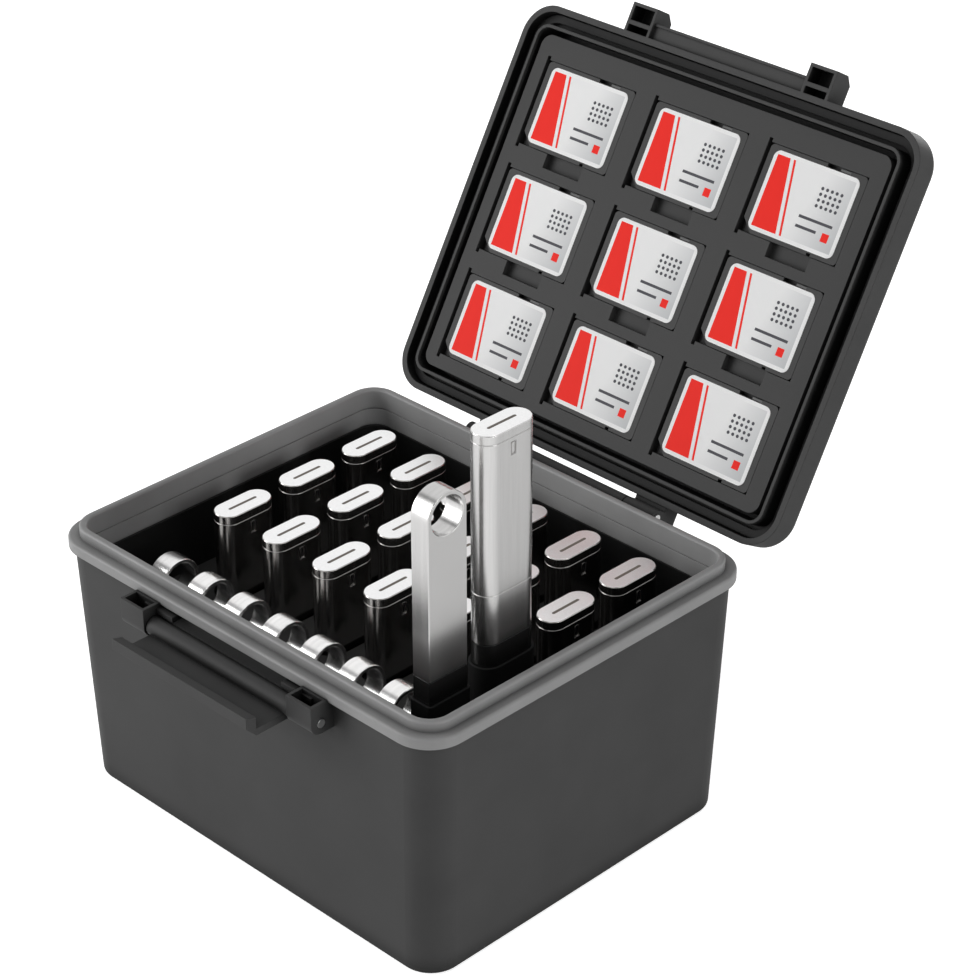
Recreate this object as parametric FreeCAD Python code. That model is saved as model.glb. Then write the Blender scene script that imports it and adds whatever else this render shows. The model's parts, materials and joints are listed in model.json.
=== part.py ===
import FreeCAD, Part
import math
import os

# Memory card case, open: a tapered base with a rim collar and a tray of drive sockets, a hinged lid
# with nine card pockets, and a front latch. Millimetres, +Z up. The origin is the centre of the
# underside, the latch is at -Y and the hinge at +Y. The lid is drawn closed and then swung open.

Vector = FreeCAD.Vector
X_AXIS = Vector(1, 0, 0)
same_place = 1e-6

# Rim collar
rim_length = 140.0
rim_width = 115.3
rim_corner = 10.5
rim_bottom = 70.5
rim_thickness = 2.9
rim_ledge = 0.9
upstand_wall = 2.0
upstand_rise = 2.9
skirt_depth = 5.0
skirt_step_width = 0.3
rim_edge_round = 0.7

# Base shell
rim_overhang = 1.65
side_taper = 2.5
front_taper = 1.9
base_wall = 1.8
base_floor = 2.2
base_edge_round = 1.5
fit_gap = 0.15

# Drive tray
tray_plate_drop = 23.5
tray_plate_thickness = 1.5
tray_wall = 1.2
tray_gap = 0.3
seat_height = 1.5
tray_leg_radius = 3.0
slot_gap_x = 1.4
slot_gap_y = 0.9

# Capsule drives and their sockets
capsule_columns = 6
capsule_rows = 3
capsule_side_aisle = 6.7
capsule_end_aisle = 6.2
capsule_row_gap = 5.3
capsule_width = 7.94
capsule_rise = 1.5
capsule_plug_length = 10.55
capsule_cap_height = 2.6
capsule_seam_rise = 14.0
drive_groove_height = 0.3
drive_groove_depth = 0.15
top_slit_length = 9.4
top_slit_width = 0.7
top_slit_depth = 0.6
window_width = 1.8
window_height = 3.6
window_depth = 0.15
window_drop = 1.0
raised_capsule = 18
raised_capsule_hold = 4.2

# Ring drives and their sockets
ring_count = 8
ring_side_aisle = 7.05
ring_width = 12.7
ring_thickness = 5.85
ring_drop = 6.1
ring_plug_length = 10.8
ring_band_width = 1.2
ring_sleeve_corner = 1.0
drive_edge = 0.2
raised_ring = 8
raised_ring_hold = 4.15

# Sockets
sleeve_wall = 0.58
sleeve_gap = 0.12
seat_gap = 0.02
sleeve_edge = 0.2
sleeve_plate_gap = 0.3

# Lid
lid_wall = 1.75
seal_gap = 0.35
lid_rest_gap = 0.3
lid_depth = 9.2
lid_roof = 1.8
lid_edge_round = 3.0
groove_depth = 5.0
ridge_inset = 5.4
ridge_wall = 0.9
ridge_rise = 0.6
lid_open_angle = 120.0
gasket_width = 2.2
gasket_clearance = 0.3

# Card tray in the lid
card_tray_inset = 1.6
card_tray_drop = 0.2
card_plate = 4.2
card_tray_skirt = 1.5
card_length = 32.0
card_height = 24.0
card_thickness = 2.1
card_corner = 1.2
card_cut = 3.6
card_columns = 3
card_rows = 3
card_side_margin = 1.2
card_end_margin = 1.9
card_row_shift = 1.35
card_drop = 0.1
card_side_gap = 0.15
card_floor_gap = 0.05
label_length = 28.4
label_height = 21.9
label_corner = 2.0
label_recess = 0.15
lock_notch_start = 2.8
lock_notch_length = 7.6
lock_notch_depth = 0.9
lock_slider_length = 3.4
lock_slider_inset = 0.2
small_notch_place = 6.4
small_notch_length = 1.2
small_notch_depth = 0.7
end_slot_width = 1.1
end_slot_length = 26.4
end_slot_depth = 3.2
finger_notch_place = 1.4
finger_notch_length = 13.4
finger_notch_reach = 4.0
finger_notch_depth = 2.2

# Hinge
hinge_offset = 2.45
hinge_rise = 0.9
hinge_radius = 2.3
pin_radius = 1.15
pin_press_gap = 0.02
pin_running_gap = 0.05
barrel_half_length = 23.6
knuckle_gap = 0.3
knuckle_end = 34.5
hinge_arm_clearance = 0.3
hinge_arm_height = 6.0
hinge_web_height = 2.6
pin_end_proud = 0.3

# Latch, its lugs on the base and the catch on the lid
lug_place = 31.0
lug_width = 8.9
lug_reach = 5.55
lug_rise = 0.6
lug_rim_gap = 0.1
lug_hole_length = 7.1
lug_hole_width = 3.9
lug_hole_depth = 3.9
latch_pivot_reach = 2.55
latch_pivot_drop = 4.8
latch_lug_radius = 3.0
latch_barrel_radius = 2.6
latch_barrel_gap = 0.3
latch_half_width = 25.0
latch_plate = 1.9
latch_plate_drop = 1.15
latch_lip_rise = 4.25
latch_lip_slope = 1.0
latch_lip_thickness = 3.1
latch_corner_cut = 3.0
latch_catch_gap = 0.3
slot_block_start = 20.3
slot_block_reach = 1.4
slot_block_drop = 2.1
slot_block_height = 1.5
lid_lug_reach = 8.0
lid_lug_depth = 7.5
lid_lug_wall = 0.9
lid_lug_shelf_place = 1.9
lid_lug_shelf = 1.2
lid_lug_hole_depth = 6.0
lid_lug_corner_cut = 2.4
catch_reach = 4.3
catch_drop = 1.3
catch_thickness = 1.6
catch_bead_width = 0.7
catch_bead_rise = 0.5

# Places that follow from the sizes above
rim_half = Vector(rim_length / 2, rim_width / 2, 0)
rim_top = rim_bottom + rim_thickness
upstand_top = rim_top + upstand_rise
lid_half = rim_half - Vector(rim_ledge, rim_ledge, 0)
lid_corner = rim_corner - rim_ledge
lip_inner_half = lid_half - Vector(lid_wall, lid_wall, 0)
lip_inner_corner = lid_corner - lid_wall
upstand_half = lip_inner_half - Vector(seal_gap, seal_gap, 0)
upstand_corner = lip_inner_corner - seal_gap
rim_inner_half = upstand_half - Vector(upstand_wall, upstand_wall, 0)
rim_inner_corner = upstand_corner - upstand_wall
skirt_bottom = rim_bottom - skirt_depth
body_corner = rim_corner - rim_overhang
body_top_half = rim_half - Vector(rim_overhang, rim_overhang, 0)
body_taper = Vector(side_taper, front_taper, 0)
lip_plane = rim_top + lid_rest_gap
lid_top = lip_plane + lid_depth
roof_inner = lid_top - lid_roof
hinge_y = rim_half.y + hinge_offset
hinge_height = rim_bottom + hinge_rise
hinge_axis = Vector(0, hinge_y, hinge_height)
pivot_y = -rim_half.y - latch_pivot_reach
latch_pivot_height = rim_bottom - latch_pivot_drop
lug_top = rim_bottom + lug_rise
slot_block_bottom = rim_bottom - slot_block_drop
tray_plate_top = rim_bottom - tray_plate_drop
tray_plate_bottom = tray_plate_top - tray_plate_thickness
catch_face = lip_plane + catch_drop
catch_top = catch_face + catch_thickness
catch_edge = -lid_half.y - catch_reach


def inward(half, distance):
    """Half sizes of an outline set in by a distance all round."""
    return half - Vector(distance, distance, 0)


def body_half(height):
    """Half sizes of the tapered body's outside at a height."""
    return body_top_half - body_taper * (1 - height / rim_bottom)


def outline(half, radius, height, centre=Vector()):
    """Closed outline of a rounded rectangle, lying flat at a height."""
    bow = radius * (1 - math.sqrt(0.5))
    place = Vector(centre.x, centre.y, height)
    turns = []
    for side_x, side_y in ((1, 1), (-1, 1), (-1, -1), (1, -1)):
        on_side = Vector(side_x * half.x, side_y * (half.y - radius), 0)
        on_end = Vector(side_x * (half.x - radius), side_y * half.y, 0)
        middle = Vector(side_x * (half.x - bow), side_y * (half.y - bow), 0)
        turns.append((on_side, middle, on_end) if side_x * side_y > 0 else (on_end, middle, on_side))
    edges = []
    for turn, following in zip(turns, turns[1:] + turns[:1]):
        edges.append(Part.Arc(*[place + point for point in turn]).toShape())
        if turn[2].distanceToPoint(following[0]) > same_place:
            edges.append(Part.LineSegment(place + turn[2], place + following[0]).toShape())
    return Part.Wire(edges)


def block(half, radius, bottom, top, centre=Vector()):
    """Upright block with rounded corners."""
    face = Part.Face(outline(half, radius, bottom, centre))
    return face.extrude(Vector(0, 0, top - bottom))


def box(low, high):
    """Plain block between two corners."""
    size = high - low
    return Part.makeBox(size.x, size.y, size.z, low)


def rod(radius, start, end, y, z):
    """Round bar along X."""
    return Part.makeCylinder(radius, end - start, Vector(start, y, z), X_AXIS)


def both_sides(shape):
    """A shape and its mirror image across the middle plane X = 0."""
    return [shape, shape.mirror(Vector(), X_AXIS)]


def level_edges(shape, height):
    """Edges that lie flat at a height."""
    found = []
    for edge in shape.Edges:
        low = abs(edge.BoundBox.ZMin - height)
        high = abs(edge.BoundBox.ZMax - height)
        if max(low, high) < same_place:
            found.append(edge)
    return found


def swing_open(shape):
    """Turn a closed lid piece to where it stands with the lid open."""
    opened = shape.copy()
    opened.rotate(hinge_axis, X_AXIS, -lid_open_angle)
    return opened


def save(name, shape):
    shape.exportStep(f"parts/{name}.step")


def grid(count, pitch, centre=0.0):
    """Evenly spaced places about a centre."""
    return [centre + (index - (count - 1) / 2) * pitch for index in range(count)]


# Drive tray and the places on it: columns from -X to +X, rows from the hinge to the latch, the ring
# row in front
tray_half = inward(body_half(tray_plate_bottom), base_wall + tray_gap)
tray_corner = body_corner - base_wall
tray_inner_half = inward(tray_half, tray_wall)
drive_row_count = capsule_rows + 1
capsule_pitch_x = 2 * (tray_inner_half.x - capsule_side_aisle) / capsule_columns
capsule_pitch_y = 2 * (tray_inner_half.y - capsule_end_aisle) / drive_row_count
ring_pitch = 2 * (tray_inner_half.x - ring_side_aisle) / ring_count
drive_rows = grid(drive_row_count, -capsule_pitch_y)
ring_row = drive_rows[-1]
capsule_places = [
    Vector(x, y, 0) for y in drive_rows[:-1] for x in grid(capsule_columns, capsule_pitch_x)
]
ring_places = [Vector(x, ring_row, 0) for x in grid(ring_count, ring_pitch)]

capsule_length = capsule_pitch_y - capsule_row_gap
capsule_half = Vector(capsule_width / 2, capsule_length / 2, 0)
ring_half = Vector(ring_thickness / 2, ring_width / 2, 0)
sleeve_reach = sleeve_gap + sleeve_wall
capsule_sleeve_half = inward(capsule_half, -sleeve_reach)
ring_sleeve_half = inward(ring_half, -sleeve_reach)
drive_bottom = base_floor + seat_height
capsule_top = rim_bottom + capsule_rise
cap_bottom = capsule_top - capsule_cap_height
ring_top = rim_bottom - ring_drop
ring_total = ring_top - drive_bottom
seated_sleeve_top = tray_plate_bottom - sleeve_plate_gap
raised_sleeve_top = cap_bottom
capsule_lift = Vector(0, 0, raised_sleeve_top - raised_capsule_hold - drive_bottom)
ring_lift = Vector(0, 0, raised_sleeve_top - raised_ring_hold - (capsule_top - ring_total))


def base_lug():
    """Hollow lug on the +X side of the latch, with the ear that holds the latch pin."""
    low_x = lug_place - lug_width / 2
    high_x = lug_place + lug_width / 2
    front = -rim_half.y - lug_reach
    back = -rim_half.y - lug_rim_gap
    wall_inside = -body_half(latch_pivot_height).y + base_wall / 2
    head = box(Vector(low_x, front, latch_pivot_height), Vector(high_x, back, lug_top))
    foot = rod(latch_lug_radius, low_x, high_x, pivot_y, latch_pivot_height)
    web_bottom = latch_pivot_height - latch_lug_radius
    web = box(Vector(low_x, pivot_y, web_bottom), Vector(high_x, wall_inside, rim_bottom - lug_rim_gap))
    hole_half = Vector(lug_hole_length / 2, lug_hole_width / 2, 0)
    hole_centre = Vector(lug_place, (front + back) / 2, 0)
    hole = box(
        hole_centre - hole_half + Vector(0, 0, lug_top - lug_hole_depth),
        hole_centre + hole_half + Vector(0, 0, lug_top),
    )
    return head.fuse([foot, web]).cut(hole)


def slot_block():
    """Short rib that closes the end of the gap behind the latch barrel."""
    low = Vector(slot_block_start, -rim_half.y - slot_block_reach, slot_block_bottom)
    high = Vector(lug_place, -body_half(slot_block_bottom).y + base_wall / 2, slot_block_bottom)
    return box(low, high + Vector(0, 0, slot_block_height))


def base_shell():
    outer = Part.makeLoft(
        [outline(body_half(0), body_corner, 0), outline(body_half(rim_bottom), body_corner, rim_bottom)],
        True,
        True,
    )
    outer = outer.makeFillet(base_edge_round, level_edges(outer, 0))
    inner_corner = body_corner - base_wall
    hollow = Part.makeLoft(
        [
            outline(inward(body_half(base_floor), base_wall), inner_corner, base_floor),
            outline(inward(body_half(rim_bottom), base_wall), inner_corner, rim_bottom),
        ],
        True,
        True,
    )
    shell = outer.cut(hollow)
    web_top = rim_bottom - lug_rim_gap
    hinge_web = box(
        Vector(-barrel_half_length, body_half(rim_bottom).y - base_wall / 2, web_top - hinge_web_height),
        Vector(barrel_half_length, hinge_y, web_top),
    )
    barrel = rod(hinge_radius, -barrel_half_length, barrel_half_length, hinge_y, hinge_height)
    additions = [hinge_web, barrel] + both_sides(base_lug()) + both_sides(slot_block())
    shell = shell.fuse(additions).removeSplitter()
    hinge_bore = rod(pin_radius + pin_press_gap, -rim_length, rim_length, hinge_y, hinge_height)
    pin_bore = rod(pin_radius + pin_press_gap, -rim_length, rim_length, pivot_y, latch_pivot_height)
    return shell.cut([hinge_bore, pin_bore])


def rim_collar():
    flange = block(rim_half, rim_corner, rim_bottom, rim_top)
    flange = flange.makeFillet(rim_edge_round, level_edges(flange, rim_top))
    upstand = block(upstand_half, upstand_corner, rim_bottom, upstand_top)
    skirt_half = inward(body_half(skirt_bottom), base_wall + fit_gap)
    skirt = block(skirt_half, body_corner - base_wall, skirt_bottom, rim_bottom)
    upper_opening = block(rim_inner_half, rim_inner_corner, rim_bottom, upstand_top)
    lower_half = inward(rim_inner_half, skirt_step_width)
    lower_opening = block(lower_half, rim_inner_corner, skirt_bottom, rim_bottom)
    collar = flange.fuse([upstand, skirt]).removeSplitter().cut([upper_opening, lower_opening])
    return collar.makeFillet(rim_edge_round, level_edges(collar, upstand_top))


def drive_tray():
    """Plate with a slot for each socket, on four legs that stand on the base floor."""
    plate = block(tray_half, tray_corner, tray_plate_bottom, tray_plate_top)
    slot_reach = Vector(slot_gap_x, slot_gap_y, 0)
    slots = []
    for number, place in enumerate(capsule_places, start=1):
        half = slot_reach + (capsule_sleeve_half if number == raised_capsule else capsule_half)
        slots.append(block(half, half.x, tray_plate_bottom, tray_plate_top, place))
    for number, place in enumerate(ring_places, start=1):
        half = slot_reach + (ring_sleeve_half if number == raised_ring else ring_half)
        slots.append(block(half, ring_sleeve_corner, tray_plate_bottom, tray_plate_top, place))
    leg_place = inward(body_half(0), base_wall + 2 * tray_leg_radius)
    leg_length = tray_plate_bottom - base_floor
    legs = [
        Part.makeCylinder(tray_leg_radius, leg_length, Vector(x, y, base_floor))
        for x in (-leg_place.x, leg_place.x)
        for y in (-leg_place.y, leg_place.y)
    ]
    return plate.cut(slots).fuse(legs)


def tray_liner():
    """Wall that stands on the tray plate and reaches up to the rim collar's skirt."""
    wall = block(tray_half, tray_corner, tray_plate_top, skirt_bottom)
    inner_corner = tray_corner - tray_wall
    return wall.cut(block(tray_inner_half, inner_corner, tray_plate_top, skirt_bottom))


def sleeve(half, radius, bore_half, bore_radius, seat, top, place):
    """Socket tube that stands on the base floor, with its drive's seat at a height."""
    tube = block(half, radius, base_floor, top, place)
    tube = tube.makeChamfer(sleeve_edge, level_edges(tube, top))
    return tube.cut(block(bore_half, bore_radius, seat, top, place))


def capsule_sleeve(place, top):
    bore = inward(capsule_half, -sleeve_gap)
    seat = drive_bottom - seat_gap
    half = capsule_sleeve_half
    return sleeve(half, half.x, bore, bore.x, seat, top, place)


def ring_sleeve(place, drive_top, top):
    bore = inward(ring_half, -sleeve_gap)
    seat = drive_top - ring_total - seat_gap
    corner = ring_sleeve_corner
    return sleeve(ring_sleeve_half, corner, bore, corner - sleeve_wall, seat, top, place)


def capsule_drive(place):
    """Body with rounded ends, a keyring slit in its top, three grooves round it and a lamp window."""
    plug_top = drive_bottom + capsule_plug_length
    body = block(capsule_half, capsule_half.x, drive_bottom, capsule_top, place)
    body = body.makeChamfer(drive_edge, level_edges(body, capsule_top))
    slit_half = Vector(top_slit_width / 2, top_slit_length / 2, 0)
    slit = block(slit_half, slit_half.x, capsule_top - top_slit_depth, capsule_top, place)
    cuts = [slit]
    for groove_top in (cap_bottom + drive_groove_height, plug_top + capsule_seam_rise, plug_top):
        groove_bottom = groove_top - drive_groove_height
        around_half = capsule_sleeve_half
        around = block(around_half, around_half.x, groove_bottom, groove_top, place)
        neck_half = inward(capsule_half, drive_groove_depth)
        cuts.append(around.cut(block(neck_half, neck_half.x, groove_bottom, groove_top, place)))
    window_top = cap_bottom - window_drop
    face = place.x + capsule_half.x
    cuts.append(
        box(
            Vector(face - window_depth, place.y - window_width / 2, window_top - window_height),
            Vector(face, place.y + window_width / 2, window_top),
        )
    )
    return body.cut(cuts)


def ring_drive(place, top):
    """Flat metal body whose upper end is a ring to hang it by."""
    radius = ring_half.y
    centre_height = top - radius
    low_x = place.x - ring_half.x
    high_x = place.x + ring_half.x
    bottom = top - ring_total
    shank = box(
        Vector(low_x, place.y - radius, bottom),
        Vector(high_x, place.y + radius, centre_height),
    )
    head = rod(radius, low_x, high_x, place.y, centre_height)
    eye = rod(radius - ring_band_width, low_x, high_x, place.y, centre_height)
    body = shank.fuse(head).removeSplitter().cut(eye)
    long_edges = [
        edge
        for edge in body.Edges
        if edge.BoundBox.ZLength > radius and edge.BoundBox.XLength < same_place
    ]
    body = body.makeChamfer(drive_edge, long_edges)
    groove_top = bottom + ring_plug_length
    groove_low = groove_top - drive_groove_height
    around = block(ring_sleeve_half, ring_sleeve_corner, groove_low, groove_top, place)
    neck = block(inward(ring_half, drive_groove_depth), ring_sleeve_corner, groove_low, groove_top, place)
    return body.cut(around.cut(neck))


def lid_lug():
    """Hollow lug on the lid's free edge, drawn closed, on the +X side."""
    low_x = lug_place - lug_width / 2
    high_x = lug_place + lug_width / 2
    front = -lid_half.y - lid_lug_reach
    back = -lid_half.y + lid_wall / 2
    lug_far = lip_plane + lid_lug_depth
    lug = box(Vector(low_x, front, lip_plane), Vector(high_x, back, lug_far))
    far_edge = [
        edge for edge in level_edges(lug, lug_far) if abs(edge.BoundBox.YMax - front) < same_place
    ]
    lug = lug.makeChamfer(lid_lug_corner_cut, far_edge)
    shelf_back = -lid_half.y - lid_lug_shelf_place
    shelf_front = shelf_back - lid_lug_shelf
    hole_low_x = low_x + lid_lug_wall
    hole_high_x = high_x - lid_lug_wall
    hole_top = lip_plane + lid_lug_hole_depth
    near_hole = box(Vector(hole_low_x, shelf_back, lip_plane), Vector(hole_high_x, -lid_half.y, hole_top))
    far_hole = box(
        Vector(hole_low_x, front + lid_lug_wall, lip_plane),
        Vector(hole_high_x, shelf_front, lug_far - lid_lug_corner_cut),
    )
    return lug.cut([near_hole, far_hole])


def hinge_knuckle():
    """Lid knuckle at the +X end of the hinge, with its arm up to the lid's back wall."""
    start = barrel_half_length + knuckle_gap
    end = knuckle_end
    knuckle = rod(hinge_radius, start, end, hinge_y, hinge_height)
    arm_face = rim_half.y + hinge_arm_clearance
    arm_back = hinge_y + hinge_radius
    arm_top = lip_plane + hinge_arm_height
    arm = box(Vector(start, arm_face, hinge_height), Vector(end, arm_back, arm_top))
    bridge_low = lip_plane + lid_rest_gap
    bridge = box(Vector(start, lid_half.y - lid_wall / 2, bridge_low), Vector(end, arm_back, arm_top))
    return knuckle.fuse([arm, bridge])


def lid_shell():
    outer = block(lid_half, lid_corner, lip_plane, lid_top)
    outer = outer.makeFillet(lid_edge_round, level_edges(outer, lid_top))
    ridge_half = inward(lid_half, ridge_inset)
    ridge_corner = lid_corner - ridge_inset
    recess_half = inward(ridge_half, ridge_wall)
    recess_corner = ridge_corner - ridge_wall
    ridge_foot = lip_plane - ridge_rise
    groove_floor = lip_plane + groove_depth
    groove = block(lip_inner_half, lip_inner_corner, lip_plane, groove_floor)
    groove = groove.cut(block(ridge_half, ridge_corner, lip_plane, groove_floor))
    ridge = block(ridge_half, ridge_corner, ridge_foot, lip_plane)
    recess = block(recess_half, recess_corner, ridge_foot, roof_inner)
    catch_end = lug_place - lug_width / 2
    catch = box(
        Vector(-catch_end, catch_edge, catch_face),
        Vector(catch_end, -lid_half.y + lid_wall / 2, catch_top),
    )
    bead = box(
        Vector(-catch_end, catch_edge, catch_face - catch_bead_rise),
        Vector(catch_end, catch_edge + catch_bead_width, catch_top),
    )
    additions = [ridge, catch, bead] + both_sides(lid_lug()) + both_sides(hinge_knuckle())
    shell = outer.fuse(additions).cut([groove, recess]).removeSplitter()
    bore = rod(pin_radius + pin_running_gap, -rim_length, rim_length, hinge_y, hinge_height)
    return shell.cut(bore)


def lid_gasket():
    """Soft ring in the lid's groove, which the rim's upstand meets when the lid is shut."""
    middle = (upstand_wall - gasket_width) / 2
    outer_half = inward(upstand_half, middle)
    outer_corner = upstand_corner - middle
    low = upstand_top + gasket_clearance
    high = lip_plane + groove_depth
    inner_half = inward(outer_half, gasket_width)
    ring = block(outer_half, outer_corner, low, high)
    return ring.cut(block(inner_half, outer_corner - gasket_width, low, high))


card_face = lip_plane + card_tray_drop + card_drop
card_tray_half = inward(lid_half, ridge_inset + ridge_wall + card_tray_inset)
card_pitch_x = 2 * (card_tray_half.x - card_side_margin) / card_columns
card_pitch_y = 2 * (card_tray_half.y - card_end_margin) / card_rows
card_places = [
    Vector(x, y, 0)
    for y in grid(card_rows, card_pitch_y, card_row_shift)
    for x in grid(card_columns, card_pitch_x)
]


def card_pocket(place, has_finger_notch):
    """Everything cut from the card tray for one card, drawn closed with the mouth downwards."""
    mouth = lip_plane + card_tray_drop
    floor = card_face + card_thickness + card_floor_gap
    half = Vector(card_length / 2 + card_side_gap, card_height / 2 + card_side_gap, 0)
    low = place - half
    high = place + half
    pocket = box(low + Vector(0, 0, mouth), high + Vector(0, 0, floor))
    slot = box(
        Vector(low.x - end_slot_width, place.y - end_slot_length / 2, mouth),
        Vector(low.x, place.y + end_slot_length / 2, mouth + end_slot_depth),
    )
    cuts = [pocket, slot]
    if has_finger_notch:
        notch_low = Vector(place.x + finger_notch_place - finger_notch_length / 2, high.y, mouth)
        notch_size = Vector(finger_notch_length, finger_notch_reach, finger_notch_depth)
        cuts.append(box(notch_low, notch_low + notch_size))
    return cuts


def card_tray():
    corner = lid_corner - ridge_inset - ridge_wall
    mouth = lip_plane + card_tray_drop
    tray = block(card_tray_half, corner, mouth, roof_inner)
    under_half = inward(card_tray_half, card_tray_skirt)
    tray = tray.cut(block(under_half, corner - card_tray_skirt, mouth + card_plate, roof_inner))
    hinge_side_row = max(place.y for place in card_places)
    cuts = []
    for place in card_places:
        cuts += card_pocket(place, place.y < hinge_side_row)
    return tray.cut(cuts)


def memory_card(place):
    """Card lying face down in its pocket of the closed lid, contact end towards -X."""
    half = Vector(card_length / 2, card_height / 2, 0)
    back = card_face + card_thickness
    card = block(half, card_corner, card_face, back, place)
    corner = place + Vector(-half.x, half.y, card_face)
    bevel = Part.makePolygon(
        [corner, corner + Vector(card_cut, 0, 0), corner - Vector(0, card_cut, 0), corner]
    )
    bevel = Part.Face(bevel).extrude(Vector(0, 0, card_thickness))
    notch_start = place.x + lock_notch_start
    notch_end = notch_start + lock_notch_length
    edge_y = place.y - half.y
    notch = box(Vector(notch_start, edge_y, card_face), Vector(notch_end, edge_y + lock_notch_depth, back))
    slider = box(
        Vector(notch_end - lock_slider_length, edge_y + lock_slider_inset, card_face + lock_slider_inset),
        Vector(notch_end, edge_y + lock_notch_depth, back - lock_slider_inset),
    )
    small_x = place.x + small_notch_place
    small = box(
        Vector(small_x, place.y + half.y - small_notch_depth, card_face),
        Vector(small_x + small_notch_length, place.y + half.y, back),
    )
    label_half = Vector(label_length / 2, label_height / 2, 0)
    recess = block(label_half, label_corner, card_face, card_face + label_recess, place)
    return card.cut([bevel, notch, small, recess]).fuse(slider)


def latch():
    """Latch swung open, its plate lying level and its hook turned up."""
    barrel_half = lug_place - lug_width / 2 - latch_barrel_gap
    barrel = rod(latch_barrel_radius, -barrel_half, barrel_half, pivot_y, latch_pivot_height)
    plate_top = latch_pivot_height - latch_plate_drop
    plate_bottom = plate_top - latch_plate
    lip_top = plate_top + latch_lip_rise
    lip_face = pivot_y - (catch_top + latch_catch_gap - latch_pivot_height)
    lip_front = lip_face - latch_lip_thickness
    section = [
        (pivot_y, plate_bottom),
        (pivot_y, plate_top),
        (lip_face, plate_top),
        (lip_face, lip_top - latch_lip_slope),
        (lip_front, lip_top),
        (lip_front, plate_bottom + latch_corner_cut),
        (lip_front + latch_corner_cut, plate_bottom),
    ]
    corners = [Vector(-latch_half_width, y, z) for y, z in section]
    hook = Part.Face(Part.makePolygon(corners + corners[:1])).extrude(X_AXIS * (2 * latch_half_width))
    bore = rod(pin_radius + pin_running_gap, -rim_length, rim_length, pivot_y, latch_pivot_height)
    return barrel.fuse(hook).removeSplitter().cut(bore)


os.makedirs("parts", exist_ok=True)

save("base_shell", base_shell())
save("rim_collar", rim_collar())
save("drive_tray", drive_tray())
save("tray_liner", tray_liner())
save("lid_shell", swing_open(lid_shell()))
save("lid_gasket", swing_open(lid_gasket()))
save("card_tray", swing_open(card_tray()))
save("latch", latch())

hinge_pin_end = knuckle_end + pin_end_proud
latch_pin_end = lug_place + lug_width / 2 + pin_end_proud
save("hinge_pin", rod(pin_radius, -hinge_pin_end, hinge_pin_end, hinge_y, hinge_height))
save("latch_pin", rod(pin_radius, -latch_pin_end, latch_pin_end, pivot_y, latch_pivot_height))

capsule_sleeves = []
for number, place in enumerate(capsule_places, start=1):
    drive = capsule_drive(place)
    if number == raised_capsule:
        drive.translate(capsule_lift)
        save("raised_capsule_sleeve", capsule_sleeve(place, raised_sleeve_top))
    else:
        capsule_sleeves.append(capsule_sleeve(place, seated_sleeve_top))
    save(f"capsule_drive_{number}", drive)
save("capsule_sleeves", Part.makeCompound(capsule_sleeves))

ring_sleeves = []
for number, place in enumerate(ring_places, start=1):
    if number == raised_ring:
        drive = ring_drive(place, capsule_top)
        drive.translate(ring_lift)
        save("raised_ring_sleeve", ring_sleeve(place, capsule_top, raised_sleeve_top))
    else:
        drive = ring_drive(place, ring_top)
        ring_sleeves.append(ring_sleeve(place, ring_top, seated_sleeve_top))
    save(f"ring_drive_{number}", drive)
save("ring_sleeves", Part.makeCompound(ring_sleeves))

for number, place in enumerate(card_places, start=1):
    save(f"memory_card_{number}", swing_open(memory_card(place)))
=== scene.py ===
import json
import math

import bpy
from mathutils import Matrix, Vector


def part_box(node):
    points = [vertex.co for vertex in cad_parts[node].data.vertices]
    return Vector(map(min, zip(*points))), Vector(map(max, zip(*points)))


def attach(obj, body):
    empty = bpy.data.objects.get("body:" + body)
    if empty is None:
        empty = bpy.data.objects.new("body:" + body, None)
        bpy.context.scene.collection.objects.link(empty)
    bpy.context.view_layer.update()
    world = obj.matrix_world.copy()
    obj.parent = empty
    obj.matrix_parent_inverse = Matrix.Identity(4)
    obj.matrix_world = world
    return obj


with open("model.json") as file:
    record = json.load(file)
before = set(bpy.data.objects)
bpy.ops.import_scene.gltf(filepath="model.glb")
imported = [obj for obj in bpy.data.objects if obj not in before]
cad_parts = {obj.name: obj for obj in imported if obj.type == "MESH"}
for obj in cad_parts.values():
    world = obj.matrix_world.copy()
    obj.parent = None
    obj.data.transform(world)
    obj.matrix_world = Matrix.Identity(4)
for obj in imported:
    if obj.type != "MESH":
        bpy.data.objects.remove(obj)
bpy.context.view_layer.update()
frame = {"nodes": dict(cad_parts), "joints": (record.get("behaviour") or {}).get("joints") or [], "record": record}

# Memory card case: finishes for the CAD nodes, the printed labels and lock sliders of the cards,
# the top plates, slit linings, seams and lamp windows of the pen drives, and a white studio.
# Metres, +Z up, the latch in front at -Y.

MM = 0.001
nodes = frame["nodes"]

CAPSULES = [f"capsule_drive_{number}" for number in range(1, 19)]
RINGS = [f"ring_drive_{number}" for number in range(1, 9)]
CARDS = [f"memory_card_{number}" for number in range(1, 10)]
RAISED_CAPSULE = "capsule_drive_18"
RAISED_RING = "ring_drive_8"

# Pen drive sizes, heights measured from the top or the bottom of the drive
CAPSULE_HALF = Vector((3.97, 8.807, 0)) * MM
# Lengths at the bottom of a drive painted black as shade, for where a drive stands down in the case
CAPSULE_SHADED_END = 10.55 * MM
RING_SHADED_END = 10.8 * MM
PLATE_INSET = 0.2 * MM
PLATE_THICKNESS = 0.12 * MM
PLATE_SUNK = 0.1 * MM
SLIT_SIZE = Vector((0.9, 9.6, 0.9)) * MM
LINING_INSET = 0.02 * MM
LINING_THICKNESS = 0.1 * MM
LINING_DROP = 0.03 * MM
CAP_SEAM_DROP = 2.45 * MM
BODY_SEAM_RISE = 24.4 * MM
SEAM_HEIGHT = 0.22 * MM
SEAM_DEPTH = 0.13 * MM
SEAM_SLOPE = 0.12 * MM
SEAM_PROUD = 0.02 * MM
WINDOW_SIZE = Vector((0.12, 1.6, 3.4)) * MM
WINDOW_FRAME = 0.18 * MM
WINDOW_CORNER = 0.6 * MM
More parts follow.
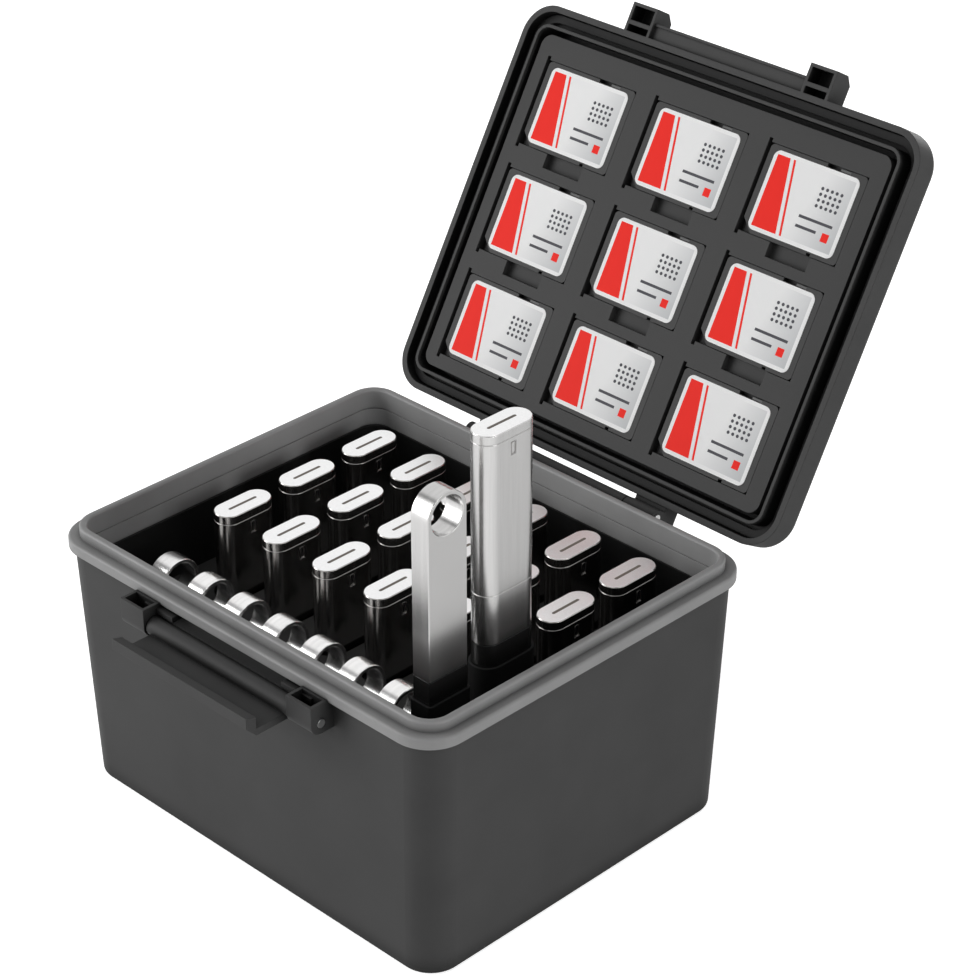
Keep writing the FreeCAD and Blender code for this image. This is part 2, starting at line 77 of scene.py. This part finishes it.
WINDOW_PROUD = 0.02 * MM
WINDOW_DROP = 5.4 * MM
CUTTER_EXTRA = 1 * MM

# Card sizes about the middle of a card
LABEL_SIZE = Vector((28.3, 21.8, 0.13)) * MM
LABEL_CORNER = 2.0 * MM
CARD_THICKNESS = 2.1 * MM
LABEL_GAP = 0.01 * MM
SLIDER_SIZE = Vector((3.46, 0.74, 1.76)) * MM
SLIDER_PLACE = Vector((8.7, 11.5, 0)) * MM
SLIDER_EDGE = 0.12 * MM

# Steps in a rounded corner. A round end keeps a hair of flat between its two corners.
ROUND_END_STEPS = 14
ROUND_END_SHARE = 0.9999
SLOPE_STEPS = 1
WINDOW_STEPS = 5
LABEL_STEPS = 8
SLIDER_STEPS = 2
SAME_PLACE = 1e-7


def grey(value):
    return (value, value, value)


# Surface detail that the finishes share
RAMP_ENDS = (0.3, 0.7)
EDGE_SAMPLES = 6
# Painted shade deep in holes and narrow gaps: its samples and how far it darkens the colour
CORNER_SAMPLES = 8
PAINTED_CORNER_SHADE = {"From Min": 0.35, "From Max": 0.85, "To Min": 0.15}
WHITE = (1, 1, 1, 1)

# Plastics: soft clouds in colour and gloss, and the detail of the grain
CLOUD_SCALE = 60
CLOUD_DETAIL = 5
CLOUD_CONTRAST = 0.08
CLOUD_GLOSS = 0.04
GRAIN_DETAIL = 3

# Metals: brushed lines, drawn out along a drive or round the band of a ring
ALONG = (1, 1, 0.02)
ROUND_THE_BAND = (0.35, 0.01, 0.01)
LINE_SCALE = 2500
LINE_DETAIL = 4
LINE_CONTRAST = 0.04
LINE_GLOSS = 0.02
LINE_DEPTH = 0.0002 * MM
METAL_EDGE = 0.08 * MM
METAL = (0.58, 0.575, 0.57)
# Painted light and shade: the ring metal in a lighter copy for the seated rings and a darker copy for the raised
# ring
RING_METAL = (0.86, 0.855, 0.85)
SHADED_RAISED_RING_METAL = (0.57, 0.565, 0.56)
# Painted shade: a darker copy of METAL for the seated capsule drives; the lamp window frames take it too
SHADED_METAL = (0.42, 0.41, 0.4)
SEAM_METAL = (0.6, 0.595, 0.59)
# Painted shade: black for the lower end of a drive
SHADE_BLACK = (*grey(0.01), 1)

# Label print, laid out in shares of the label: left, right, bottom and top of a window
LABEL_RED = (0.82, 0.018, 0.01, 1)
LABEL_INK = (0.07, 0.07, 0.08, 1)
PAPER_SHADES = (grey(0.76), grey(0.84))
SILVER_SHADES = (grey(0.78), (0.5, 0.51, 0.52))
SILVER_FADE = (0.75, -0.2)
PRINTED_FIELD = (0.04, 0.96, 0.05, 0.95)
RED_SLANT = 0.16
RED_FIELD_END = 0.34
RED_LINE = (0.38, 0.405)
RED_SQUARE = (0.81, 0.89, 0.16, 0.265)
LONG_RULE = (0.5, 0.89, 0.34, 0.375)
SHORT_RULE = (0.5, 0.74, 0.22, 0.255)
DOT_FIELD = (0.611, 0.889, 0.5, 0.7857)
DOTS_ACROSS = 18
DOTS_UP = 14
DOT_RADIUS = 0.3
PAPER_SCALE = 90
PAPER_DETAIL = 3
PAPER_DEPTH = 0.004 * MM

# Camera, fitted to the photo: lens and sensor in millimetres, angles in degrees
CAMERA_PLACE = (0.48621, -0.45796, 0.47715)
CAMERA_DOWN = 30.064
CAMERA_TURN = 44.722
CAMERA_LENS = 111.74
CAMERA_SENSOR = 36

# Studio. The floor glows for the camera and, less and less from front to back, for mirrored
# rays, and lights nothing. The sky is dimmer as light than as it is seen.
FLOOR_SIZE = 8
FLOOR_WHITE = (0.9, 0.9, 0.9, 1)
FLOOR_ROUGHNESS = 0.9
FLOOR_LIGHT = 0.0
FLOOR_GLOW_SEEN = 0.75
FLOOR_GLOW_MIRRORED = {"From Min": -0.12, "From Max": 0.1, "To Min": 0.52, "To Max": 0.25}
SKY_LIGHT = 0.3
SKY_SEEN = 1.0
LAMP_AIM = Vector((0, 0, 0.06))

# Metal mirrors a grey gap between two soft boxes: its brightness at places from front to back
SOFT_BOX_GAP = ((0.27, 1.0), (0.33, 0.22), (0.37, 0.22), (0.45, 1.0))


# Materials

def material_nodes(name):
    """A new material and its node tree's nodes, links and main shader."""
    material = bpy.data.materials.new(name)
    material.use_nodes = True
    tree = material.node_tree
    return material, tree.nodes, tree.links, tree.nodes["Principled BSDF"]


def set_inputs(node, values):
    for key, value in values.items():
        node.inputs[key].default_value = value


def set_or_link(links, socket, value):
    if isinstance(value, bpy.types.NodeSocket):
        links.new(value, socket)
    else:
        socket.default_value = value


def add(tree_nodes, kind, inputs=None, **settings):
    """A new node with its settings and the values of its inputs."""
    node = tree_nodes.new(kind)
    for key, value in settings.items():
        setattr(node, key, value)
    set_inputs(node, inputs or {})
    return node


def mixed(tree_nodes, links, share, first, second, **settings):
    """Mix of two numbers, or of two colours where the settings say so."""
    mix = add(tree_nodes, "ShaderNodeMix", **settings)
    for key, value in (("Factor", share), ("A", first), ("B", second)):
        set_or_link(links, mix.inputs[key], value)
    return mix.outputs["Result"]


def split_of(tree_nodes, links, vector):
    """The X, Y and Z of a vector."""
    split = add(tree_nodes, "ShaderNodeSeparateXYZ")
    links.new(vector, split.inputs["Vector"])
    return [split.outputs[axis] for axis in "XYZ"]


def mapped(tree_nodes, links, value, limits):
    """A value carried from one range over to another."""
    node = add(tree_nodes, "ShaderNodeMapRange", limits)
    links.new(value, node.inputs["Value"])
    return node.outputs["Result"]


def noise_of(tree_nodes, links, place, scale, detail):
    noise = add(tree_nodes, "ShaderNodeTexNoise", {"Scale": scale, "Detail": detail})
    links.new(place, noise.inputs["Vector"])
    return noise.outputs["Fac"]


def colours_of(tree_nodes, links, value, shades):
    """Colours from the first shade to the second, by a value."""
    ramp = add(tree_nodes, "ShaderNodeValToRGB")
    for element, position, colour in zip(ramp.color_ramp.elements, RAMP_ENDS, shades):
        element.position = position
        element.color = (*colour, 1)
    links.new(value, ramp.inputs["Fac"])
    return ramp.outputs["Color"]


def dark_and_light(colour, contrast):
    return [[part * share for part in colour] for share in (1 - contrast, 1 + contrast)]


def uneven_gloss(tree_nodes, links, shader, value, roughness, spread):
    limits = {"To Min": roughness - spread, "To Max": roughness + spread}
    links.new(mapped(tree_nodes, links, value, limits), shader.inputs["Roughness"])


def fine_surface(tree_nodes, links, shader, height, depth, edge):
    """Fine relief as bump over edges rounded by a small radius."""
    rounded = add(tree_nodes, "ShaderNodeBevel", {"Radius": edge}, samples=EDGE_SAMPLES)
    bump = add(tree_nodes, "ShaderNodeBump", {"Strength": 1, "Distance": depth})
    links.new(height, bump.inputs["Height"])
    links.new(rounded.outputs["Normal"], bump.inputs["Normal"])
    links.new(bump.outputs["Normal"], shader.inputs["Normal"])


def painted_shade_in_corners(tree_nodes, links, colour, reach):
    """The same colour, darker deep in holes and narrow gaps: painted shade, by how closely other surfaces hem a
    point in.
    """
    hollow = add(
        tree_nodes, "ShaderNodeAmbientOcclusion", {"Distance": reach}, samples=CORNER_SAMPLES
    )
    shade = mapped(tree_nodes, links, hollow.outputs["AO"], PAINTED_CORNER_SHADE)
    return mixed(tree_nodes, links, 1, colour, shade, data_type="RGBA", blend_type="MULTIPLY")


def moulded(name, colour, roughness, grain, depth, edge, specular=0.25, painted_shade_reach=None):
    """Plastic with a fine grain, cloudy colour and uneven gloss, with painted shade in corners where a reach is
    given. Lengths in millimetres.
    """
    material, tree_nodes, links, shader = material_nodes(name)
    place = add(tree_nodes, "ShaderNodeTexCoord").outputs["Object"]
    cloud = noise_of(tree_nodes, links, place, CLOUD_SCALE, CLOUD_DETAIL)
    mottled = colours_of(tree_nodes, links, cloud, dark_and_light(colour, CLOUD_CONTRAST))
    # Painted shade: the colour darker deep in holes and narrow gaps
    if painted_shade_reach:
        mottled = painted_shade_in_corners(tree_nodes, links, mottled, painted_shade_reach * MM)
    links.new(mottled, shader.inputs["Base Color"])
    uneven_gloss(tree_nodes, links, shader, cloud, roughness, CLOUD_GLOSS)
    set_inputs(shader, {"Specular IOR Level": specular})
    grains = noise_of(tree_nodes, links, place, 1 / (grain * MM), GRAIN_DETAIL)
    fine_surface(tree_nodes, links, shader, grains, depth * MM, edge * MM)
    return material


def polished(name, colour, roughness, shade_height=None, grain=ALONG, contrast=LINE_CONTRAST):
    """Bright metal with faint brushed lines and, below a height, black as painted shade."""
    material, tree_nodes, links, shader = material_nodes(name)
    place = add(tree_nodes, "ShaderNodeTexCoord").outputs["Object"]
    drawn_out = add(tree_nodes, "ShaderNodeMapping", {"Scale": grain})
    links.new(place, drawn_out.inputs["Vector"])
    lines = noise_of(tree_nodes, links, drawn_out.outputs["Vector"], LINE_SCALE, LINE_DETAIL)
    metal = colours_of(tree_nodes, links, lines, dark_and_light(colour, contrast))
    uneven_gloss(tree_nodes, links, shader, lines, roughness, LINE_GLOSS)
    if shade_height is None:
        links.new(metal, shader.inputs["Base Color"])
        set_inputs(shader, {"Metallic": 1})
    else:
        # Painted shade: black below the height, metal above
        height = split_of(tree_nodes, links, place)[2]
        above = add(tree_nodes, "ShaderNodeMath", {1: shade_height}, operation="GREATER_THAN")
        links.new(height, above.inputs[0])
        is_metal = above.outputs["Value"]
        parts = mixed(tree_nodes, links, is_metal, SHADE_BLACK, metal, data_type="RGBA")
        links.new(parts, shader.inputs["Base Color"])
        links.new(is_metal, shader.inputs["Metallic"])
    fine_surface(tree_nodes, links, shader, lines, LINE_DEPTH, METAL_EDGE)
    return material


def label_print(name):
    """Printed card label: white margin, slanted red field, silver ground with dots and rules."""
    material, tree_nodes, links, shader = material_nodes(name)
    uv = add(tree_nodes, "ShaderNodeUVMap", uv_map="label").outputs["UV"]
    across, up = split_of(tree_nodes, links, uv)[:2]

    def maths(operation, first, second=0.0):
        node = add(tree_nodes, "ShaderNodeMath", operation=operation)
        for socket, value in zip(node.inputs, (first, second)):
            set_or_link(links, socket, value)
        return node.outputs["Value"]

    def between(value, low, high):
        return maths("MULTIPLY", maths("GREATER_THAN", value, low), maths("LESS_THAN", value, high))

    def window(left, right, bottom, top):
        return maths("MULTIPLY", between(across, left, right), between(up, bottom, top))

    def from_dot(value, count):
        return maths("SUBTRACT", maths("FRACT", maths("MULTIPLY", value, count)), 0.5)

    def squared(value):
        return maths("MULTIPLY", value, value)

    def paint(mask, under, colour):
        return mixed(tree_nodes, links, mask, under, colour, data_type="RGBA")

    grain = noise_of(tree_nodes, links, uv, PAPER_SCALE, PAPER_DETAIL)
    paper = colours_of(tree_nodes, links, grain, PAPER_SHADES)
    fade_across, fade_up = (
        maths("MULTIPLY", value, share) for value, share in zip((across, up), SILVER_FADE)
    )
    silver = colours_of(tree_nodes, links, maths("ADD", fade_across, fade_up), SILVER_SHADES)
    field = window(*PRINTED_FIELD)
    slant = maths("ADD", across, maths("MULTIPLY", up, RED_SLANT))
    red_field = maths("MULTIPLY", field, maths("LESS_THAN", slant, RED_FIELD_END))
    red_line = maths("MULTIPLY", field, between(slant, *RED_LINE))
    dot_x, dot_y = from_dot(across, DOTS_ACROSS), from_dot(up, DOTS_UP)
    distance = maths("SQRT", maths("ADD", squared(dot_x), squared(dot_y)))
    dots = maths("MULTIPLY", window(*DOT_FIELD), maths("LESS_THAN", distance, DOT_RADIUS))
    rules = maths("MAXIMUM", window(*LONG_RULE), window(*SHORT_RULE))
    colour = paint(field, paper, silver)
    colour = paint(maths("MAXIMUM", red_field, red_line), colour, LABEL_RED)
    colour = paint(maths("MAXIMUM", dots, rules), colour, LABEL_INK)
    colour = paint(window(*RED_SQUARE), colour, LABEL_RED)
    links.new(colour, shader.inputs["Base Color"])
    set_inputs(shader, {"Roughness": 0.5, "Specular IOR Level": 0.1})
    bump = add(tree_nodes, "ShaderNodeBump", {"Distance": PAPER_DEPTH})
    links.new(grain, bump.inputs["Height"])
    links.new(bump.outputs["Normal"], shader.inputs["Normal"])
    return material


# Height up to which a drive is painted black as shade
def shaded_end_top(node, shaded_end):
    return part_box(node)[0].z + shaded_end


# The case and the rim plastics take painted shade in their holes and gaps
case_plastic = moulded(
    "case_plastic", grey(0.051), roughness=0.55, grain=0.35, depth=0.006, edge=0.35,
    specular=0.12, painted_shade_reach=9,
)
rim_plastic = moulded(
    "rim_plastic", grey(0.25), roughness=0.45, grain=0.4, depth=0.004, edge=0.3, painted_shade_reach=5
)
plate_plastic = moulded(
    "plate_plastic", grey(0.03), roughness=0.5, grain=0.4, depth=0.004, edge=0.2
)
liner_plastic = moulded(
    "liner_plastic", grey(0.006), roughness=0.5, grain=0.4, depth=0.004, edge=0.2
)
socket_plastic = moulded(
    "socket_plastic", grey(0.009), roughness=0.6, grain=0.6, depth=0.002, edge=0.15, specular=0.12
)
card_tray_plastic = moulded(
    "card_tray_plastic", grey(0.028), roughness=0.6, grain=0.5, depth=0.01, edge=0.2
)
seal_rubber = moulded(
    "seal_rubber", grey(0.012), roughness=0.7, grain=0.3, depth=0.004, edge=0.4
)
card_plastic = moulded(
    "card_plastic", grey(0.014), roughness=0.5, grain=0.3, depth=0.004, edge=0.12
)
slider_plastic = moulded(
    "slider_plastic", grey(0.085), roughness=0.5, grain=0.2, depth=0.003, edge=0.08
)
slit_brown = moulded(
    "slit_brown", (0.16, 0.14, 0.12), roughness=0.5, grain=0.3, depth=0.002, edge=0.05
)

pin_steel = polished("pin_steel", grey(0.7), roughness=0.3)
plate_metal = polished("plate_metal", grey(0.9), roughness=0.32)
seam_metal = polished("seam_metal", SEAM_METAL, roughness=0.3)
# Painted shade: the lamp window frames and the seated capsule drives take the darker copy of the capsule metal,
# the raised capsule drive takes METAL
frame_metal = polished("frame_metal", SHADED_METAL, roughness=0.3)
capsule_metal = polished(
    "capsule_metal", SHADED_METAL, roughness=0.2, shade_height=shaded_end_top(CAPSULES[0], CAPSULE_SHADED_END)
)
raised_capsule_metal = polished(
    "raised_capsule_metal", METAL, roughness=0.24,
    shade_height=shaded_end_top(RAISED_CAPSULE, CAPSULE_SHADED_END),
)
ring_metal = polished(
    "ring_metal", RING_METAL, roughness=0.24, shade_height=shaded_end_top(RINGS[0], RING_SHADED_END),
    grain=ROUND_THE_BAND, contrast=0.06,
)
# Painted shade: the raised ring takes a darker copy of the ring metal than the seated rings
shaded_raised_ring_metal = polished(
    "shaded_raised_ring_metal", SHADED_RAISED_RING_METAL, roughness=0.24,
    shade_height=shaded_end_top(RAISED_RING, RING_SHADED_END), grain=ROUND_THE_BAND, contrast=0.05,
)
card_label = label_print("card_label")

slot_finishes = {
    "case_plastic": case_plastic,
    "rim_plastic": rim_plastic,
    "tray_plastic": plate_plastic,
    "socket_plastic": socket_plastic,
    "card_tray_plastic": card_tray_plastic,
    "seal_rubber": seal_rubber,
    "pin_steel": pin_steel,
    "drive_metal": capsule_metal,
    "card_plastic": card_plastic,
}
node_finishes = {name: ring_metal for name in RINGS}
node_finishes["tray_liner"] = liner_plastic
node_finishes[RAISED_CAPSULE] = raised_capsule_metal
node_finishes[RAISED_RING] = shaded_raised_ring_metal
for subpart in frame["record"]["subparts"]:
    finish = node_finishes.get(subpart["node"], slot_finishes[subpart["material_slot"]])
    for slot in nodes[subpart["node"]].material_slots:
        slot.material = finish


# Modelling

def flat(width):
    """The same width along X and Y, and none along Z."""
    return Vector((width, width, 0))


def start_block(name, size, centre=Vector()):
    """A new block with its middle at a place, alone selected."""
    bpy.ops.object.select_all(action="DESELECT")
    bpy.ops.mesh.primitive_cube_add(size=1, location=centre)
    piece = bpy.context.object
    piece.name = name
    piece.scale = size
    bpy.ops.object.transform_apply(location=True, rotation=True, scale=True)
    return piece


def bevel(piece, chosen, width, steps):
    """Round the edges that a test on their two ends picks."""
    bpy.ops.object.mode_set(mode="EDIT")
    bpy.ops.mesh.select_mode(type="EDGE")
    bpy.ops.mesh.select_all(action="DESELECT")
    bpy.ops.object.mode_set(mode="OBJECT")
    places = piece.data.vertices
    for edge in piece.data.edges:
        start, end = (places[index].co for index in edge.vertices)
        edge.select = chosen(start, end)
    bpy.ops.object.mode_set(mode="EDIT")
    bpy.ops.mesh.bevel(offset=width, segments=steps, affect="EDGES", clamp_overlap=True)
    bpy.ops.object.mode_set(mode="OBJECT")


def upright(start, end):
    return (start - end).xy.length < SAME_PLACE


def lengthwise(start, end):
    return (start - end).yz.length < SAME_PLACE


def on_top(start, end):
    return min(start.z, end.z) > 0


def any_edge(start, end):
    return True


def cut_out(piece, cutter):
    """Take a cutter's shape out of a piece."""
    bpy.ops.object.select_all(action="DESELECT")
    bpy.context.view_layer.objects.active = piece
    piece.select_set(True)
    hole = piece.modifiers.new("hole", "BOOLEAN")
    hole.operation = "DIFFERENCE"
    hole.solver = "EXACT"
    hole.object = cutter
    bpy.ops.object.modifier_apply(modifier="hole")
    bpy.data.objects.remove(cutter)


def capsule_block(name, half, height, middle_z=0.0):
    """Upright block whose narrow ends are half round."""
    size = Vector((half.x * 2, half.y * 2, height))
    piece = start_block(name, size, Vector((0, 0, middle_z)))
    bevel(piece, upright, half.x * ROUND_END_SHARE, ROUND_END_STEPS)
    return piece


def place_copy(pattern, name, place, body):
    """A copy with its own mesh, its place in the mesh, riding on a body."""
    copy = pattern.copy()
    copy.data = pattern.data.copy()
    copy.name = name
    bpy.context.scene.collection.objects.link(copy)
    copy.data.transform(place)
    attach(copy, body)


# Top plate, brown slit lining, seam ring and lamp window of a capsule drive, drawn with the top or
# the seam at z = 0

plate = capsule_block(
    "plate", CAPSULE_HALF - flat(PLATE_INSET), PLATE_THICKNESS, PLATE_THICKNESS / 2 - PLATE_SUNK
)
slit_half = SLIT_SIZE / 2
cut_out(plate, capsule_block("slit", slit_half, SLIT_SIZE.z))
plate.data.materials.append(plate_metal)

lining = capsule_block("lining", slit_half - flat(LINING_INSET), LINING_THICKNESS, -LINING_DROP)
lining.data.materials.append(slit_brown)

seam_half = CAPSULE_HALF + flat(SEAM_PROUD)
seam = capsule_block("seam", seam_half, SEAM_HEIGHT)
bevel(seam, on_top, SEAM_SLOPE, SLOPE_STEPS)
cut_out(seam, capsule_block("seam_hole", seam_half - flat(SEAM_DEPTH), 2 * SEAM_HEIGHT))
seam.data.materials.append(seam_metal)

window_centre = Vector((CAPSULE_HALF.x + WINDOW_PROUD - WINDOW_SIZE.x / 2, 0, -WINDOW_DROP))
lamp = start_block("lamp", WINDOW_SIZE, window_centre)
bevel(lamp, lengthwise, WINDOW_CORNER, WINDOW_STEPS)
glass_size = WINDOW_SIZE + Vector((CUTTER_EXTRA, -2 * WINDOW_FRAME, -2 * WINDOW_FRAME))
glass = start_block("glass", glass_size, window_centre)
bevel(glass, lengthwise, WINDOW_CORNER - WINDOW_FRAME, WINDOW_STEPS)
cut_out(lamp, glass)
lamp.data.materials.append(frame_metal)

for number, name in enumerate(CAPSULES, start=1):
    low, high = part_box(name)
    middle = (low + high) / 2
    top = Matrix.Translation((middle.x, middle.y, high.z))
    cap_seam = Matrix.Translation((middle.x, middle.y, high.z - CAP_SEAM_DROP))
    body_seam = Matrix.Translation((middle.x, middle.y, low.z + BODY_SEAM_RISE))
    place_copy(plate, f"top_plate_{number}", top, name)
    place_copy(lining, f"slit_lining_{number}", top, name)
    place_copy(lamp, f"lamp_window_{number}", top, name)
    place_copy(seam, f"cap_seam_{number}", cap_seam, name)
    place_copy(seam, f"body_seam_{number}", body_seam, name)

# Label and lock slider of a card, drawn flat with the middle of the card at the origin, face up

label = start_block("label", LABEL_SIZE)
bevel(label, upright, LABEL_CORNER, LABEL_STEPS)
label_top = CARD_THICKNESS / 2 - LABEL_GAP
label.data.transform(Matrix.Translation((0, 0, label_top - LABEL_SIZE.z / 2)))
for layer in list(label.data.uv_layers):
    label.data.uv_layers.remove(layer)
layout = label.data.uv_layers.new(name="label")
for loop in label.data.loops:
    point = label.data.vertices[loop.vertex_index].co
    layout.data[loop.index].uv = (point.x / LABEL_SIZE.x + 0.5, point.y / LABEL_SIZE.y + 0.5)
label.data.materials.append(card_label)

slider = start_block("slider", SLIDER_SIZE, SLIDER_PLACE)
bevel(slider, any_edge, SLIDER_EDGE, SLIDER_STEPS)
slider.data.materials.append(slider_plastic)

card_joints = {joint["child"]: joint for joint in frame["joints"]}
for number, name in enumerate(CARDS, start=1):
    low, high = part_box(name)
    facing = -Vector(card_joints[name]["axis"])
    across = Vector((1, 0, 0))
    turn = Matrix((across, facing.cross(across), facing)).transposed().to_4x4()
    place = Matrix.Translation((low + high) / 2) @ turn
    place_copy(label, f"card_label_{number}", place, name)
    place_copy(slider, f"lock_slider_{number}", place, name)

for pattern in (plate, lining, seam, lamp, label, slider):
    bpy.data.objects.remove(pattern)


# Camera, floor and light

camera_data = bpy.data.cameras.new("camera")
camera_data.lens = CAMERA_LENS
camera_data.sensor_width = CAMERA_SENSOR
camera = bpy.data.objects.new("camera", camera_data)
camera.location = CAMERA_PLACE
camera.rotation_euler = (math.radians(90 - CAMERA_DOWN), 0, math.radians(CAMERA_TURN))
bpy.context.scene.collection.objects.link(camera)
bpy.context.scene.camera = camera


def strength_by_ray(tree_nodes, links, path, plain, straight, mirrored):
    """Strength of a glow: as light on surfaces, for the camera, and for mirrored or bent rays."""
    bounced = add(tree_nodes, "ShaderNodeMath", operation="MAXIMUM")
    links.new(path.outputs["Is Glossy Ray"], bounced.inputs[0])
    links.new(path.outputs["Is Transmission Ray"], bounced.inputs[1])
    seen = mixed(tree_nodes, links, path.outputs["Is Camera Ray"], plain, straight)
    return mixed(tree_nodes, links, bounced.outputs["Value"], seen, mirrored)


bpy.ops.object.select_all(action="DESELECT")
bpy.ops.mesh.primitive_plane_add(size=FLOOR_SIZE, location=(0, 0, 0))
floor = bpy.context.object
floor.name = "floor"
floor_paint, floor_nodes, floor_links, floor_shader = material_nodes("floor_paint")
set_inputs(floor_shader, {
    "Base Color": FLOOR_WHITE, "Roughness": FLOOR_ROUGHNESS, "Specular IOR Level": 0,
    "Emission Color": WHITE,
})
floor_path = add(floor_nodes, "ShaderNodeLightPath")
floor_place = add(floor_nodes, "ShaderNodeTexCoord").outputs["Object"]
floor_y = split_of(floor_nodes, floor_links, floor_place)[1]
reflector = mapped(floor_nodes, floor_links, floor_y, FLOOR_GLOW_MIRRORED)
floor_glow = strength_by_ray(
    floor_nodes, floor_links, floor_path, FLOOR_LIGHT, FLOOR_GLOW_SEEN, reflector
)
floor_links.new(floor_glow, floor_shader.inputs["Emission Strength"])
floor.data.materials.append(floor_paint)

world = bpy.data.worlds.new("studio")
bpy.context.scene.world = world
world.use_nodes = True
world_nodes, world_links = world.node_tree.nodes, world.node_tree.links
background = world_nodes["Background"]
world_path = add(world_nodes, "ShaderNodeLightPath")
sky_glow = strength_by_ray(world_nodes, world_links, world_path, SKY_LIGHT, SKY_SEEN, SKY_SEEN)
direction = add(world_nodes, "ShaderNodeTexCoord").outputs["Generated"]
to_the_back = split_of(world_nodes, world_links, direction)[1]
gap = add(world_nodes, "ShaderNodeValToRGB")
gap.color_ramp.interpolation = "EASE"
while len(gap.color_ramp.elements) < len(SOFT_BOX_GAP):
    gap.color_ramp.elements.new(0.5)
for element, (place, brightness) in zip(gap.color_ramp.elements, SOFT_BOX_GAP):
    element.position = place
    element.color = (*grey(brightness), 1)
front_to_back = mapped(world_nodes, world_links, to_the_back, {"From Min": -1})
world_links.new(front_to_back, gap.inputs["Fac"])
sky_colour = mixed(
    world_nodes, world_links, world_path.outputs["Is Glossy Ray"], WHITE, gap.outputs["Color"],
    data_type="RGBA",
)
world_links.new(sky_colour, background.inputs["Color"])
world_links.new(sky_glow, background.inputs["Strength"])


def soft_lamp(name, place, size, power):
    """Square soft light that faces the case."""
    lamp_data = bpy.data.lights.new(name, "AREA")
    lamp_data.size = size
    lamp_data.energy = power
    lamp_object = bpy.data.objects.new(name, lamp_data)
    lamp_object.location = place
    aim = LAMP_AIM - Vector(place)
    lamp_object.rotation_euler = aim.to_track_quat("-Z", "Y").to_euler()
    bpy.context.scene.collection.objects.link(lamp_object)


soft_lamp("front_lamp", place=(-0.9, -0.9, 0.45), size=0.9, power=14)
soft_lamp("side_lamp", place=(1.15, 0.1, 0.28), size=0.5, power=5.8)
soft_lamp("top_lamp", place=(0.1, -0.1, 1.4), size=0.9, power=1.5)
soft_lamp("back_lamp", place=(-0.3, 1.2, 0.25), size=0.4, power=3)

bpy.context.scene.view_settings.view_transform = "Standard"
